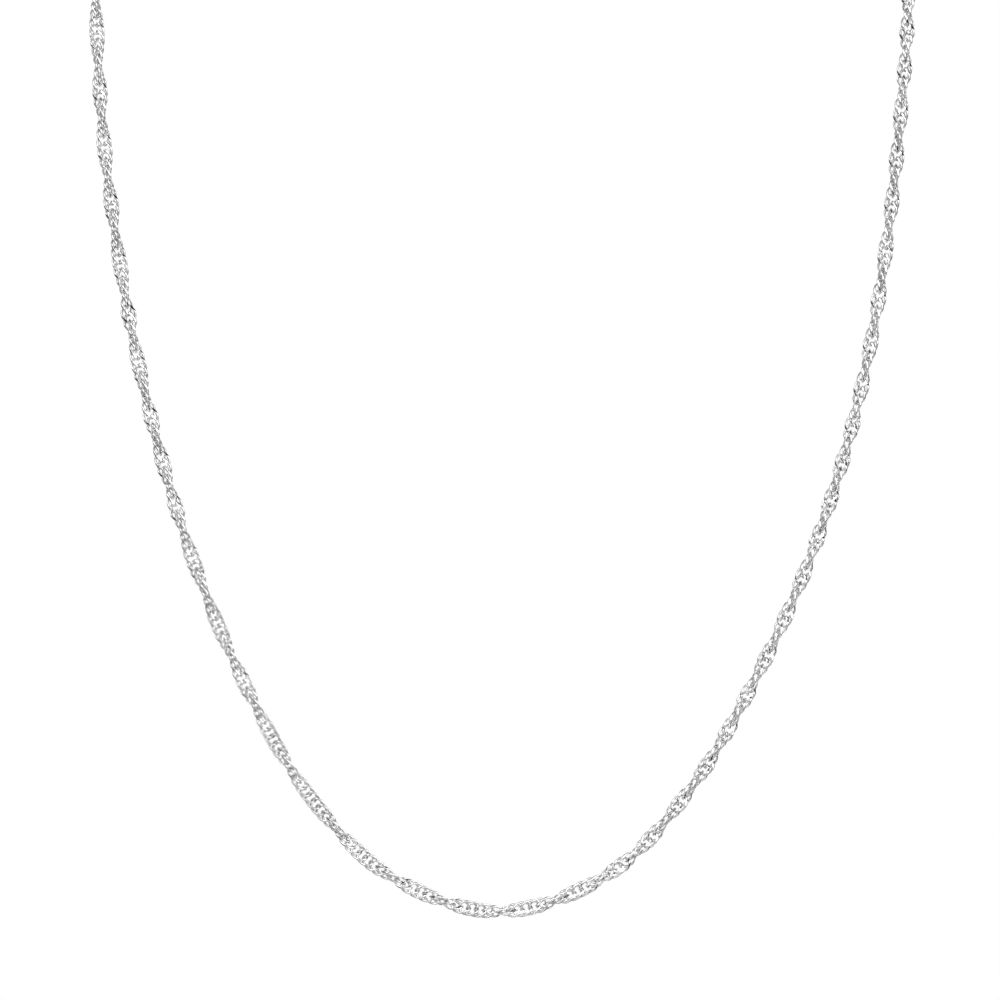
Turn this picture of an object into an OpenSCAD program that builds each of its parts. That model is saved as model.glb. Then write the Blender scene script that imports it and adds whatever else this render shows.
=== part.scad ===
// Singapore chain necklace, a closed loop held up as it is worn, in millimetres
// X runs across the wearer, -Y towards the front and +Z up
// The origin is on the axis of the neck, level with the sides of the loop

/* [Necklace] */
// Distance between the two strands at the sides of the neck, centre to centre
loop_w = 105; // [80:1:150]
// Drop of the front from the sides to its lowest point
front_drop = 115.5; // [90:0.5:200]
// How far the lowest point lies in front of the sides
front_lean = 20; // [5:1:50]
// Reach of the back from the sides to the nape
back_reach = 74; // [55:1:100]
// Rise of the nape over the sides
back_rise = 33; // [15:1:60]
// How far the sides lie in front of the axis of the neck
sides_forward = 27; // [0:1:50]

/* [Chain] */
// Width of the chain
chain_w = 2; // [1:0.1:3]

/* [Rings] */
// Outer diameter of the soldered link at each end of the chain
end_link_w = 2.4; // [1.8:0.1:3.6]
// Wire of the end links
end_link_wire = 0.4; // [0.3:0.05:0.6]
// Outer diameter of the two jump rings
jump_ring_w = 4; // [3:0.1:6]
// Wire of the jump rings
jump_ring_wire = 0.7; // [0.5:0.05:0.9]

/* [Clasp] */
// Outer diameter of the clasp's round body
clasp_w = 6; // [5:0.1:9]
// Thickness of the clasp's round body
clasp_wire = 1.3; // [1:0.05:1.6]
// Outer diameter of the clasp's eyelet
eyelet_w = 3; // [2.8:0.1:4]
// Wire of the eyelet
eyelet_wire = 0.6; // [0.5:0.05:0.7]
// Diameter of the clasp's thumb knob
knob_w = 0.9; // [0.6:0.05:1.2]
// How far the thumb knob stands out of the round body
knob_h = 0.8; // [0.5:0.05:1.5]

/* [Fit] */
// Gap between two pieces that hold each other
link_gap = 0.15; // [0.1:0.01:0.3]

/* [Hidden] */

half_w = loop_w / 2;
round_fn = 48;
tube_sides = 8;
tube_rings = 80;
// The tube's flat sides lie the chain's width apart
tube_r = chain_w / 2 / cos(180 / tube_sides);
knob_angle = 55;

// Steps along X from each piece of the fastening to the next one, at their centres
end_to_ring = (end_link_w + jump_ring_w) / 2 - end_link_wire - jump_ring_wire - link_gap;
ring_to_eyelet = (jump_ring_w + eyelet_w) / 2 - jump_ring_wire - eyelet_wire - link_gap;
eyelet_to_clasp = (eyelet_w + clasp_w) / 2 - eyelet_wire;
clasp_to_ring = (clasp_w + jump_ring_w) / 2 - clasp_wire - jump_ring_wire - link_gap;

// Places along X, from the end of the left half of the chain to that of the right half
chain_to_link = end_link_w / 2 + link_gap;
fastening = 2 * chain_to_link + 2 * end_to_ring + ring_to_eyelet + eyelet_to_clasp + clasp_to_ring;
left_end_x = -fastening / 2;
left_link_x = left_end_x + chain_to_link;
clasp_ring_x = left_link_x + end_to_ring;
eyelet_x = clasp_ring_x + ring_to_eyelet;
clasp_x = eyelet_x + eyelet_to_clasp;
catch_ring_x = clasp_x + clasp_to_ring;
right_link_x = catch_ring_x + end_to_ring;
right_end_x = right_link_x + chain_to_link;

// The route of the chain between its two ends, from the nape over the left side, round the
// front and back over the right side. Each row holds the place across as a share of half the
// width, back as a share of the reach or, in front, of the lean, and up as a share of the
// rise or, below the sides, of the drop.
ROUTE = [
    [-0.340, 0.970, 1.000],
    [-0.560, 0.890, 0.990],
    [-0.745, 0.765, 0.960],
    [-0.880, 0.595, 0.900],
    [-0.965, 0.400, 0.800],
    [-1.000, 0.205, 0.645],
    [-1.003, 0.065, 0.385],
    [-0.993, -0.005, 0.000],
    [-0.975, -0.130, -0.130],
    [-0.940, -0.255, -0.255],
    [-0.890, -0.380, -0.380],
    [-0.822, -0.505, -0.505],
    [-0.733, -0.630, -0.630],
    [-0.614, -0.755, -0.755],
    [-0.466, -0.870, -0.870],
    [-0.270, -0.960, -0.960],
    [-0.005, -1.000, -1.000],
    [0.260, -0.960, -0.960],
    [0.454, -0.870, -0.870],
    [0.608, -0.755, -0.755],
    [0.738, -0.630, -0.630],
    [0.834, -0.505, -0.505],
    [0.902, -0.380, -0.380],
    [0.948, -0.255, -0.255],
    [0.980, -0.130, -0.130],
    [1.003, -0.005, 0.000],
    [1.005, 0.065, 0.385],
    [1.000, 0.205, 0.645],
    [0.965, 0.400, 0.800],
    [0.880, 0.595, 0.900],
    [0.745, 0.765, 0.960],
    [0.560, 0.890, 0.990],
    [0.340, 0.970, 1.000],
];

function place(row) = [
    row[0] * half_w,
    row[1] * (row[1] > 0 ? back_reach : front_lean) - sides_forward,
    row[2] * (row[2] > 0 ? back_rise : front_drop)
];

function nape(x) = [x, back_reach - sides_forward, back_rise];

POINTS = [nape(left_end_x), for (row = ROUTE) place(row), nape(right_end_x)];

function point(i) =
    i < 0 ? 2 * POINTS[0] - POINTS[1] :
    i > len(POINTS) - 1 ? 2 * POINTS[len(POINTS) - 1] - POINTS[len(POINTS) - 2] :
    POINTS[i];

// Catmull-Rom curve through four points, at share t between the middle two
function between(a, b, c, d, t) =
    b + t / 2 * (c - a) + t * t * (a - 2.5 * b + 2 * c - 0.5 * d)
    + t * t * t * (1.5 * (b - c) + (d - a) / 2);

// Place on the route at u, which counts the points passed
function along(u) =
    let (i = min(floor(u), len(POINTS) - 2))
    between(point(i - 1), point(i), point(i + 1), point(i + 2), u - i);

function unit(v) = v / norm(v);

RING_CENTRES = [for (k = [0 : tube_rings - 1]) along(k / (tube_rings - 1) * (len(POINTS) - 1))];

// Direction of the tube at each ring, square to its end faces at both ends
RING_AXES = [
    for (k = [0 : tube_rings - 1])
        k == 0 ? [-1, 0, 0] :
        k == tube_rings - 1 ? [-1, 0, 0] :
        unit(RING_CENTRES[k + 1] - RING_CENTRES[k - 1])
];

// The part of v square to an axis, at length 1
function square_to(v, axis) = unit(v - (v * axis) * axis);

// A side direction for each ring, carried along the tube without twist
RING_SIDES = [
    for (
        k = 0, side = [0, 0, 1];
        k < tube_rings;
        k = k + 1, side = k < tube_rings ? square_to(side, RING_AXES[k]) : side
    ) side
];

function ring(k) = [
    for (j = [0 : tube_sides - 1])
        let (turn = (j + 0.5) * 360 / tube_sides)
        RING_CENTRES[k]
        + tube_r * cos(turn) * RING_SIDES[k]
        + tube_r * sin(turn) * cross(RING_AXES[k], RING_SIDES[k])
];

// A flat ring of round wire in the XY plane
module wire_ring(outer, wire) {
    rotate_extrude($fn = round_fn)
        translate([(outer - wire) / 2, 0])
            circle(d = wire, $fn = round_fn / 2);
}

// Moves a piece to its place along the nape
module at_nape(x) {
    translate(nape(x)) children();
}

// Stands a flat ring up, with its hole facing front and back
module upright() {
    rotate([90, 0, 0]) children();
}

module chain() {
    last = tube_rings - 1;
    sides = tube_sides;
    color("gainsboro")
        polyhedron(
            points = [for (k = [0 : last]) each ring(k)],
            faces = [
                [for (j = [0 : sides - 1]) j],
                for (k = [0 : last - 1], j = [0 : sides - 1])
                    let (a = k * sides + j, b = k * sides + (j + 1) % sides)
                    each [[a, a + sides, b], [b, a + sides, b + sides]],
                [for (j = [sides - 1 : -1 : 0]) last * sides + j],
            ]
        );
}

module left_end_link() {
    color("silver") at_nape(left_link_x) upright() wire_ring(end_link_w, end_link_wire);
}

module right_end_link() {
    color("silver") at_nape(right_link_x) upright() wire_ring(end_link_w, end_link_wire);
}

module clasp_ring() {
    color("silver") at_nape(clasp_ring_x) wire_ring(jump_ring_w, jump_ring_wire);
}

module catch_ring() {
    color("silver") at_nape(catch_ring_x) wire_ring(jump_ring_w, jump_ring_wire);
}

module clasp() {
    color("silver") {
        at_nape(clasp_x) upright() {
            wire_ring(clasp_w, clasp_wire);
            rotate(knob_angle)
                translate([(clasp_w - clasp_wire) / 2, 0, 0])
                    rotate([0, 90, 0])
                        cylinder(h = clasp_wire / 2 + knob_h, d = knob_w, $fn = round_fn);
        }
        at_nape(eyelet_x) upright() wire_ring(eyelet_w, eyelet_wire);
    }
}

chain();
left_end_link();
right_end_link();
clasp_ring();
catch_ring();
clasp();
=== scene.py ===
import math

import bpy
import numpy as np
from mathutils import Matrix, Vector


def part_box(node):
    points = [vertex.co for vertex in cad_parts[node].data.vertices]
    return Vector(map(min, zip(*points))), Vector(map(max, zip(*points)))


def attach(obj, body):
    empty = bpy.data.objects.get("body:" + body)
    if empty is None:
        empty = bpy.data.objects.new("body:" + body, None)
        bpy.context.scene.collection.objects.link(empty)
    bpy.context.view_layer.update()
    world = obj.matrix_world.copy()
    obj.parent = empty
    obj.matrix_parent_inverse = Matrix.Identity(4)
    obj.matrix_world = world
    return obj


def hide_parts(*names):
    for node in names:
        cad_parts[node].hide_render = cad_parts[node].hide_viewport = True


# A singapore chain necklace, with interlocked links in place of the CAD tube
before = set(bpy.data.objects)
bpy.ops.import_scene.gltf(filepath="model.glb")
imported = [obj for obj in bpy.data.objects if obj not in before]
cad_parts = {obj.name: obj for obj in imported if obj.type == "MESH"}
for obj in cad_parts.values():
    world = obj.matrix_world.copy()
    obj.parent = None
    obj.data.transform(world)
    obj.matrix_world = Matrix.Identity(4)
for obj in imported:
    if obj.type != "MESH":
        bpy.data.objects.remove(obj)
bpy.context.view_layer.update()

MM = 0.001

# The chain's route, as in the part's source
half_w = 105 * MM / 2
front_drop = 115.5 * MM
front_lean = 20 * MM
back_reach = 74 * MM
back_rise = 33 * MM
sides_forward = 27 * MM
link_gap = 0.15 * MM
# Across as a share of half the width, back as a share of the reach or the lean, and up as a
# share of the rise or the drop
ROUTE = [
    (-0.340, 0.970, 1.000),
    (-0.560, 0.890, 0.990),
    (-0.745, 0.765, 0.960),
    (-0.880, 0.595, 0.900),
    (-0.965, 0.400, 0.800),
    (-1.000, 0.205, 0.645),
    (-1.003, 0.065, 0.385),
    (-0.993, -0.005, 0.000),
    (-0.975, -0.130, -0.130),
    (-0.940, -0.255, -0.255),
    (-0.890, -0.380, -0.380),
    (-0.822, -0.505, -0.505),
    (-0.733, -0.630, -0.630),
    (-0.614, -0.755, -0.755),
    (-0.466, -0.870, -0.870),
    (-0.270, -0.960, -0.960),
    (-0.005, -1.000, -1.000),
    (0.260, -0.960, -0.960),
    (0.454, -0.870, -0.870),
    (0.608, -0.755, -0.755),
    (0.738, -0.630, -0.630),
    (0.834, -0.505, -0.505),
    (0.902, -0.380, -0.380),
    (0.948, -0.255, -0.255),
    (0.980, -0.130, -0.130),
    (1.003, -0.005, 0.000),
    (1.005, 0.065, 0.385),
    (1.000, 0.205, 0.645),
    (0.965, 0.400, 0.800),
    (0.880, 0.595, 0.900),
    (0.745, 0.765, 0.960),
    (0.560, 0.890, 0.990),
    (0.340, 0.970, 1.000),
]
steps_a_point = 120

# One link, measured at the middle of its wire
link_pitch = 0.98 * MM
link_length = 2.34 * MM
link_width = 1.73 * MM
link_wire = 0.31 * MM
link_twist = math.radians(-27)
# The power of the link's oval: 2 is an ellipse, and more is squarer
link_squareness = 2.05
# How much a link's wire faces along the ribbon at its ends, as a share of a plain oval's
end_facing = 0.6
# The diamond cuts: how far the flats on the ribbon's edges and faces lie from its middle
edge_cut = 0.97 * MM
face_cut = 0.47 * MM
# Points round a link, round its wire, and the least angle of a sharp edge
link_steps = 36
wire_sides = 14
facet_angle = math.radians(38)
# How far the last links reach beyond the ends of the solid, through the end links
end_reach = 0.78 * MM
# How far along its half a last link is held level, where the end link's wire passes it
end_hold = 0.8

# The ribbon's twist, right-handed: the length of a half turn where the photograph doesn't show it
half_turn = 5.7 * MM
# Where the front of the chain starts, below the top of the picture
front_start = 0.26 * MM
# Places along the front in mm, from left to right, where the ribbon is seen edge-on. A script
# measured them in the photograph, as the chain's narrow places, and some were moved a little. The
# first one is a guess, above the top of the picture.
EDGE_ON = [
    -0.6, 8.3, 14.7, 22.7, 29.4, 38.2, 43.0, 51.2, 56.9, 63.4, 69.0, 77.7, 87.0, 93.8, 102.7,
    113.0, 122.8, 129.8, 137.4, 144.4, 151.2, 156.4, 162.2, 168.1, 173.8, 178.9, 184.0, 189.9,
    195.6, 201.4, 206.3, 211.5, 216.5, 221.4, 226.7, 232.9, 238.5, 245.2, 251.1, 256.8, 262.8,
    268.0, 272.9,
]
# How much quicker the ribbon turns where its face is seen, and slower where it is edge-on, at
# places along the front in mm. It is the other way round at the bottom, where the chain is slack.
FACE_QUICKNESS = [(85, 0.3), (100, -0.4), (152, -0.4), (162, 0.3)]

# Polished silver: its roughness, and the shares of it in the smoothest and roughest spots
silver_roughness = 0.12
smoothest = 0.6
roughest = 1.6
# Fine wear, in spots of 1 / wear_scale metres
wear_scale = 2500.0
wear_detail = 4.0
wear_bump = 0.4
wear_depth = 0.004 * MM
# Tarnish, in larger patches, with the noise at its darkest and at none, and its tone
tarnish_scale = 400.0
tarnish_detail = 2.0
tarnish_full = 0.35
tarnish_none = 0.6
tarnish_tone = 0.84
# Painted shade, darker in the crevices between wires: how far away a wire shades another, the open
# shares of the sky at the darkest and at the open tone, and the tones
painted_shade_reach = 0.6 * MM
painted_shade_samples = 8
painted_shade_closed = 0.15
painted_shade_open = 0.6
open_tone = 0.95
# The darkest painted shade on the chain and on the fastening
chain_painted_shade_tone = 0.12
fastening_painted_shade_tone = 0.4

# The camera's place and the width of its picture where the loop's sides are
camera_y = -927 * MM
camera_z = -63.6 * MM
picture_w = 129.03 * MM
sensor_w = 36

floor_z = -0.21
floor_r = 0.5
floor_sides = 96
floor_tone = 0.93
floor_roughness = 0.9

# The studio that the metal mirrors: pale panels of noise, their tones by the noise's value
panel_scale = 2.0
STUDIO_TONES = [(0.32, 0.01), (0.42, 0.23), (0.49, 0.63), (0.55, 0.9), (0.68, 1.35)]
# How much the noise rises before and behind the object and falls at its sides, and the share of
# depth in a direction where it does neither
side_shade = 0.3
shade_middle = 0.6
key_at = (-0.6, -0.7, 0.8)
key_size = 0.7
key_power = 2.4
fill_at = (0.8, -0.6, 0.2)
fill_size = 0.9
fill_power = 3.0


def place(row):
    """A row of the route as a point in metres"""
    across, back, up = row
    return (
        across * half_w,
        back * (back_reach if back > 0 else front_lean) - sides_forward,
        up * (back_rise if up > 0 else front_drop),
    )


def nape(x):
    """The point of the nape at this place across"""
    return (x, back_reach - sides_forward, back_rise)


def route_points():
    """The route through the ends of the chain and all rows, with a point more at each end"""
    left_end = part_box("left_end_link")[0].x - link_gap
    right_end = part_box("right_end_link")[1].x + link_gap
    points = np.array([nape(left_end), *map(place, ROUTE), nape(right_end)])
    before = 2 * points[0] - points[1]
    after = 2 * points[-1] - points[-2]
    return np.vstack([before, points, after])


def smooth_route(points):
    """Catmull-Rom curve through the points, as many close points"""
    t = np.linspace(0, 1, steps_a_point, endpoint=False)[:, None]
    stretches = []
    for a, b, c, d in zip(points, points[1:], points[2:], points[3:]):
        stretches.append(
            b
            + t / 2 * (c - a)
            + t**2 * (a - 2.5 * b + 2 * c - 0.5 * d)
            + t**3 * (1.5 * (b - c) + (d - a) / 2)
        )
    return np.vstack([*stretches, points[-2:-1]])


def lengths_along(points):
    """How far along its line each point is"""
    steps = np.linalg.norm(np.diff(points, axis=0), axis=1)
    return np.concatenate([[0], np.cumsum(steps)])


def unit(v):
    """A vector, or each of several, at length 1"""
    return v / np.linalg.norm(v, axis=-1, keepdims=True)


def carried_sides(axes):
    """A side direction at each point, carried along the route without twist"""
    sides = [unit(np.cross([0, 0, 1], axes[0]))]
    for axis in axes[1:]:
        side = sides[-1] - np.dot(sides[-1], axis) * axis
        sides.append(unit(side))
    return np.array(sides)


class Route:
    """The chain's middle line, with the directions across and out of its ribbon"""

    def __init__(self):
        self.at = smooth_route(route_points())
        self.s = lengths_along(self.at)
        self.length = self.s[-1]
        self.axis = unit(np.gradient(self.at, self.s, axis=0))
        self.side = carried_sides(self.axis)
        self.above = np.cross(self.axis, self.side)
        self.turn = self.ribbon_turn()
        turn = self.turn[:, None]
        self.across = self.side * np.cos(turn) + self.above * np.sin(turn)
        self.out = np.cross(self.axis, self.across)

    def angle_to(self, direction):
        """The turn about the axis from the carried side direction to this one, at each point"""
        return np.arctan2((direction * self.above).sum(1), (direction * self.side).sum(1))

    def front_places(self):
        """How far along the front each point is, measured in the picture"""
        camera_at = np.array([0, camera_y, camera_z])
        picture = self.at - camera_at
        picture *= ((-sides_forward - camera_y) / picture[:, 1])[:, None]
        shown = lengths_along(picture)
        top = picture_w / 2 - front_start
        in_picture = (picture[:, 2] < top) & (picture[:, 0] < 0) & (self.at[:, 1] < 0)
        return shown - shown[np.argmax(in_picture)]

    def ribbon_turn(self):
        """The ribbon's turn from the carried side direction, at each point"""
        front = self.front_places()
        edge_on = np.array(EDGE_ON) * MM
        halves = np.interp(front, edge_on, np.arange(len(edge_on)))
        places, shares = np.transpose(FACE_QUICKNESS)
        quickness = np.interp(front, places * MM, shares)
        halves -= quickness * np.sin(2 * np.pi * halves) / (2 * np.pi)
        to_camera = unit(np.array([0, camera_y, camera_z]) - self.at)
        face_on = np.unwrap(self.angle_to(np.cross(to_camera, self.axis)))
        turn = np.pi / 2 + np.pi * halves + face_on
        first, last = np.searchsorted(front, (edge_on[0], edge_on[-1]))
        self.turn_hidden(turn, 0, first)
        self.turn_hidden(turn, -1, last)
        return turn

    def turn_hidden(self, turn, end, near):
        """Carries the turn on evenly from the front, to a last link that the end link holds level"""
        level = self.angle_to(np.array([0, 1, 0]))[end]
        lean = (link_twist - np.pi / half_turn * link_length / 2) * end_hold
        wanted = level + lean if end == 0 else level - lean
        gap = self.s[near] - self.s[end]
        halves = round((turn[near] - wanted) / np.pi - gap / half_turn)
        rate = (turn[near] - wanted - halves * np.pi) / gap
        hidden = slice(None, near) if end == 0 else slice(near, None)
        turn[hidden] = turn[near] + (self.s[hidden] - self.s[near]) * rate

    def twist(self, s):
        """The ribbon's turn for a length, over the link at s"""
        ends = np.clip([s - link_length / 2, s + link_length / 2], 0, self.length)
        return np.diff(np.interp(ends, self.s, self.turn))[0] / np.diff(ends)[0]

    def along(self, s, values):
        """The values of the route's points at these places between them"""
        return np.stack([np.interp(s, self.s, values[:, k]) for k in range(3)], -1)

    def point(self, s, across, out):
        """A point of the ribbon, also a little beyond the chain's ends"""
        beyond = s - np.clip(s, 0, self.length)
        return (
            self.along(s, self.at)
            + beyond[..., None] * self.along(s, self.axis)
            + across[..., None] * self.along(s, self.across)
            + out[..., None] * self.along(s, self.out)
        )


def ring_line(turn, ribbon_twist):
    """The middle of a link's wire: a rounded oval, twisted against the ribbon's own twist"""
    c, s = np.cos(turn), np.sin(turn)
    k = (np.abs(c) ** link_squareness + np.abs(s) ** link_squareness) ** (-1 / link_squareness)
    along = link_length / 2 * c * k
    aside = link_width / 2 * s * k
    lean = (link_twist / (link_length / 2) - ribbon_twist) * along
    return np.stack([along, aside * np.cos(lean), aside * np.sin(lean)], -1)


def wire_points(ribbon_twist):
    """The round wire of a link, along, across and out of the ribbon"""
    turn = np.linspace(0, 2 * np.pi, link_steps, endpoint=False)
    step = 1e-4
    line = ring_line(turn, ribbon_twist)
    axis = unit(ring_line(turn + step, ribbon_twist) - ring_line(turn - step, ribbon_twist))
    outward = line * [end_facing, 1, 1]
    outward = unit(outward - (outward * axis).sum(1, keepdims=True) * axis)
    upward = np.cross(axis, outward)
    spin = np.linspace(0, 2 * np.pi, wire_sides, endpoint=False) + np.pi / wire_sides
    spin = spin[None, :, None]
    r = link_wire / 2
    points = line[:, None] + r * np.cos(spin) * outward[:, None] + r * np.sin(spin) * upward[:, None]
    return points.reshape(-1, 3)


def link_points(ribbon_twist):
    """A link's points after the diamond cuts, and the number of the cut that each is on"""
    points = wire_points(ribbon_twist)
    cuts = np.zeros(len(points), int)
    for number, (column, depth) in enumerate(((1, edge_cut), (2, face_cut)), 1):
        over = points[:, column] - np.clip(points[:, column], -depth, depth)
        points[:, column] -= over
        cuts = np.where(over == 0, cuts, number * np.sign(over))
    return points, cuts


def link_faces():
    """The four points of each face of a link"""
    i, j = np.meshgrid(np.arange(link_steps), np.arange(wire_sides), indexing="ij")
    next_i = (i + 1) % link_steps
    next_j = (j + 1) % wire_sides
    corners = [
        i * wire_sides + j,
        next_i * wire_sides + j,
        next_i * wire_sides + next_j,
        i * wire_sides + next_j,
    ]
    return np.stack(corners, -1).reshape(-1, 4)


def add_links(name, route, centres, material):
    """One joined piece of links at these places along the route"""
    points, cuts = map(np.array, zip(*[link_points(route.twist(s)) for s in centres]))
    faces = link_faces()
    corner_cuts = cuts[:, faces].reshape(-1, 4)
    flat = (corner_cuts[:, 0] != 0) & (corner_cuts == corner_cuts[:, :1]).all(1)
    s = centres[:, None] + points[..., 0]
    verts = route.point(s, points[..., 1], points[..., 2]).reshape(-1, 3)
    starts = np.arange(len(centres))[:, None, None] * len(points[0])
    quads = (faces[None] + starts).reshape(-1, 4)
    mesh = bpy.data.meshes.new(name)
    mesh.from_pydata(verts.tolist(), [], quads.tolist())
    mesh.update()
    mesh.polygons.foreach_set("use_smooth", ~flat)
    mesh.set_sharp_from_angle(angle=facet_angle)
    mesh.materials.append(material)
    piece = bpy.data.objects.new(name, mesh)
    bpy.context.scene.collection.objects.link(piece)
    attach(piece, "root")
    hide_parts("chain")


def set_input(tree, socket, value):
    """Sets a shader node's input, or links it to another node's output"""
    if isinstance(value, bpy.types.NodeSocket):
        tree.links.new(value, socket)
    else:
        socket.default_value = value


def add_node(tree, kind, **inputs):
    """A shader node, with its inputs given by their names"""
    node = tree.nodes.new("ShaderNode" + kind)
    for name, value in inputs.items():
        set_input(tree, node.inputs[name.replace("_", " ")], value)
    return node


def add_math(tree, kind, operation, *values):
    """The output of a math node of this kind, with its inputs given in order"""
    node = tree.nodes.new("ShaderNode" + kind)
    node.operation = operation
    for socket, value in zip(node.inputs, values):
        set_input(tree, socket, value)
    return node.outputs[0]


def ramp_of(tree, fac, stops):
    """A grey ramp through stops of position and tone"""
    node = add_node(tree, "ValToRGB", Fac=fac)
    elements = node.color_ramp.elements
    elements[0].position, elements[-1].position = stops[0][0], stops[-1][0]
    for position, _ in stops[1:-1]:
        elements.new(position)
    for element, (_, tone) in zip(elements, stops):
        element.color = (tone, tone, tone, 1)
    return node.outputs["Color"]


def add_wear(tree, shader, point):
    """Fine spots of wear in the roughness and the bump"""
    wear = add_node(tree, "TexNoise", Vector=point, Scale=wear_scale, Detail=wear_detail)
    spots = wear.outputs["Fac"]
    low = silver_roughness * smoothest
    high = silver_roughness * roughest
    rough = add_node(tree, "MapRange", Value=spots, To_Min=low, To_Max=high)
    bump = add_node(tree, "Bump", Height=spots, Strength=wear_bump, Distance=wear_depth)
    tree.links.new(rough.outputs["Result"], shader.inputs["Roughness"])
    tree.links.new(bump.outputs["Normal"], shader.inputs["Normal"])


def silver(name, painted_shade_tone):
    """Polished silver with fine wear and a faint tarnish, and painted shade darkening its crevices
    """
    material = bpy.data.materials.new(name)
    material.use_nodes = True
    tree = material.node_tree
    shader = tree.nodes["Principled BSDF"]
    shader.inputs["Metallic"].default_value = 1.0
    point = add_node(tree, "TexCoord").outputs["Object"]
    add_wear(tree, shader, point)
    # Painted shade: the base colour darkens where ambient occlusion finds other wires close by
    occlusion = add_node(tree, "AmbientOcclusion", Distance=painted_shade_reach)
    occlusion.samples = painted_shade_samples
    painted_shade_stops = [(painted_shade_closed, painted_shade_tone), (painted_shade_open, open_tone)]
    painted_shade = ramp_of(tree, occlusion.outputs["AO"], painted_shade_stops)
    patches = add_node(tree, "TexNoise", Vector=point, Scale=tarnish_scale, Detail=tarnish_detail)
    tarnish_stops = [(tarnish_full, tarnish_tone), (tarnish_none, 1.0)]
    tarnish = ramp_of(tree, patches.outputs["Fac"], tarnish_stops)
    # The base colour: the painted shade times the tarnish
    shade_and_tarnish = add_math(tree, "VectorMath", "MULTIPLY", painted_shade, tarnish)
    tree.links.new(shade_and_tarnish, shader.inputs["Base Color"])
    return material


def add_chain():
    """The links, in three pieces from the left end link to the right one"""
    route = Route()
    first = link_length / 2 - end_reach
    count = round((route.length - 2 * first) / link_pitch) + 1
    centres = np.linspace(first, route.length - first, count)
    material = silver("chain_silver", chain_painted_shade_tone)
    names = ["left_links", "front_links", "right_links"]
    for name, part in zip(names, np.array_split(centres, len(names))):
        add_links(name, route, part, material)


def finish_fastening():
    """Silver on the CAD's clasp, jump rings and end links"""
    material = silver("fastening_silver", fastening_painted_shade_tone)
    for name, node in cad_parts.items():
        if name != "chain":
            for slot in node.material_slots:
                slot.material = material


def add_camera():
    """A level camera in front, with the loop's sides in its picture's width"""
    data = bpy.data.cameras.new("camera")
    data.sensor_width = sensor_w
    data.lens = sensor_w * (-sides_forward - camera_y) / picture_w
    camera = bpy.data.objects.new("camera", data)
    camera.location = (0, camera_y, camera_z)
    camera.rotation_euler = (math.pi / 2, 0, 0)
    bpy.context.scene.collection.objects.link(camera)
    bpy.context.scene.camera = camera


def add_floor():
    """A round pale floor, which the metal doesn't mirror"""
    bpy.ops.mesh.primitive_circle_add(vertices=floor_sides, radius=floor_r, fill_type="NGON")
    floor = bpy.context.object
    floor.name = "floor"
    floor.location = (0, 0, floor_z)
    floor.visible_glossy = False
    floor.data.materials.append(pale_floor())


def pale_floor():
    """The floor's plain matt material"""
    material = bpy.data.materials.new("pale_floor")
    material.use_nodes = True
    shader = material.node_tree.nodes["Principled BSDF"]
    shader.inputs["Base Color"].default_value = (floor_tone, floor_tone, floor_tone, 1)
    shader.inputs["Roughness"].default_value = floor_roughness
    shader.inputs["Specular IOR Level"].default_value = 0
    return material


def studio_tone(tree):
    """The tone of the studio's panels, paler before and behind the object than at its sides"""
    direction = add_node(tree, "TexCoord").outputs["Generated"]
    panels = add_node(tree, "TexNoise", Vector=direction, Scale=panel_scale, Detail=0)
    parts = add_node(tree, "SeparateXYZ", Vector=direction)
    depth = add_math(tree, "Math", "ABSOLUTE", parts.outputs["Y"])
    shaded = add_math(tree, "Math", "MULTIPLY_ADD", depth, side_shade, panels.outputs["Fac"])
    centred = add_math(tree, "Math", "SUBTRACT", shaded, side_shade * shade_middle)
    return ramp_of(tree, centred, STUDIO_TONES)


def add_room():
    """White behind the object, and a pale studio with dark gaps in what the metal mirrors"""
    world = bpy.data.worlds.new("studio")
    bpy.context.scene.world = world
    world.use_nodes = True
    tree = world.node_tree
    tree.nodes.clear()
    white = add_node(tree, "Background", Color=(1, 1, 1, 1))
    studio = add_node(tree, "Background", Color=studio_tone(tree))
    path = add_node(tree, "LightPath").outputs
    seen = add_math(tree, "Math", "MAXIMUM", path["Is Camera Ray"], path["Is Diffuse Ray"])
    mix = add_node(tree, "MixShader", Fac=seen)
    tree.links.new(studio.outputs[0], mix.inputs[1])
    tree.links.new(white.outputs[0], mix.inputs[2])
    add_node(tree, "OutputWorld", Surface=mix.outputs[0])


def add_light(name, at, size, power):
    """A square lamp that shines at the origin"""
    data = bpy.data.lights.new(name, "AREA")
    data.energy = power
    data.size = size
    light = bpy.data.objects.new(name, data)
    light.location = at
    light.rotation_euler = (-Vector(at)).to_track_quat("-Z", "Y").to_euler()
    bpy.context.scene.collection.objects.link(light)


bpy.context.scene.view_settings.view_transform = "Standard"
add_camera()
add_chain()
finish_fastening()
add_floor()
add_room()
add_light("key_light", key_at, key_size, key_power)
add_light("fill_light", fill_at, fill_size, fill_power)
